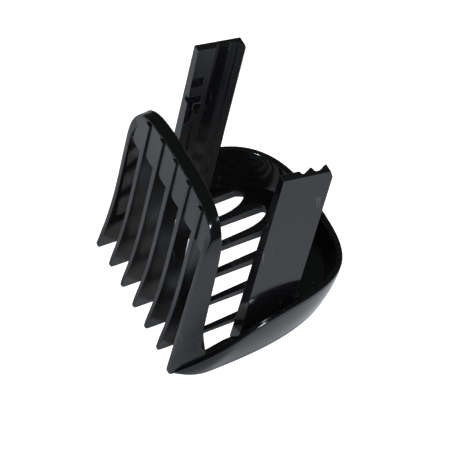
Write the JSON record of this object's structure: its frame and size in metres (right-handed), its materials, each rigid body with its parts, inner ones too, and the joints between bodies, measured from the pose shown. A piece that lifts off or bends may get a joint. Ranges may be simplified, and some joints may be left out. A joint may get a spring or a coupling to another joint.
{
  "type": "clipper guard comb",
  "caption": "Adjustable hair-clipper guard comb: tall arched teeth on a slotted sole, a flared bowl skirt and two railed arms that clip onto the clipper.",
  "frame": {"origin": "on the sole plane, below the middle of the bounding box", "axes": "+Z square to the slotted sole, towards the arms; -X towards the tooth tips and +X towards the rear of the bowl; Y = 0 is the mirror plane, with tooth 1 at +Y"},
  "size_m": [0.0548, 0.0584, 0.06],
  "materials": {
    "gloss_black_plastic": "polished injection-moulded black plastic",
    "satin_black_plastic": "lightly worn satin black plastic"
  },
  "bodies": {
    "comb_body": {"skirt_wall": "satin_black_plastic", "sole_ring": "gloss_black_plastic", "crest_bar": "gloss_black_plastic", "runner_bar_2": "gloss_black_plastic", "runner_bar_3": "gloss_black_plastic", "runner_bar_4": "gloss_black_plastic", "runner_bar_5": "gloss_black_plastic", "runner_bar_6": "gloss_black_plastic", "tooth_1": "gloss_black_plastic", "tooth_2": "gloss_black_plastic", "tooth_3": "gloss_black_plastic", "tooth_4": "gloss_black_plastic", "tooth_5": "gloss_black_plastic", "tooth_6": "gloss_black_plastic", "tooth_7": "gloss_black_plastic", "web_1": "satin_black_plastic", "web_2": "satin_black_plastic", "web_3": "satin_black_plastic", "web_4": "satin_black_plastic", "web_5": "satin_black_plastic", "web_6": "satin_black_plastic", "arm_root_near": "gloss_black_plastic", "arm_root_far": "gloss_black_plastic", "gusset_near": "gloss_black_plastic", "gusset_far": "gloss_black_plastic"},
    "near_arm": {"arm_blade_near": "satin_black_plastic", "rail_front_near": "gloss_black_plastic", "rail_rear_near": "gloss_black_plastic", "detent_tab_near": "gloss_black_plastic"},
    "far_arm": {"arm_blade_far": "satin_black_plastic", "rail_front_far": "gloss_black_plastic", "rail_rear_far": "gloss_black_plastic", "detent_tab_far": "gloss_black_plastic"}
  },
  "joints": [
    {"name": "near_arm_flex", "type": "hinge", "parent": "comb_body", "child": "near_arm", "pos_m": [0.00195, -0.02306, 0.02], "axis": [1, 0, 0], "range_deg": [-1.5, 2.5], "stiffness_Nm_per_rad": 2.3},
    {"name": "far_arm_flex", "type": "hinge", "parent": "comb_body", "child": "far_arm", "pos_m": [0.00195, 0.02306, 0.02], "axis": [-1, 0, 0], "range_deg": [-1.5, 2.5], "stiffness_Nm_per_rad": 2.3}
  ]
}
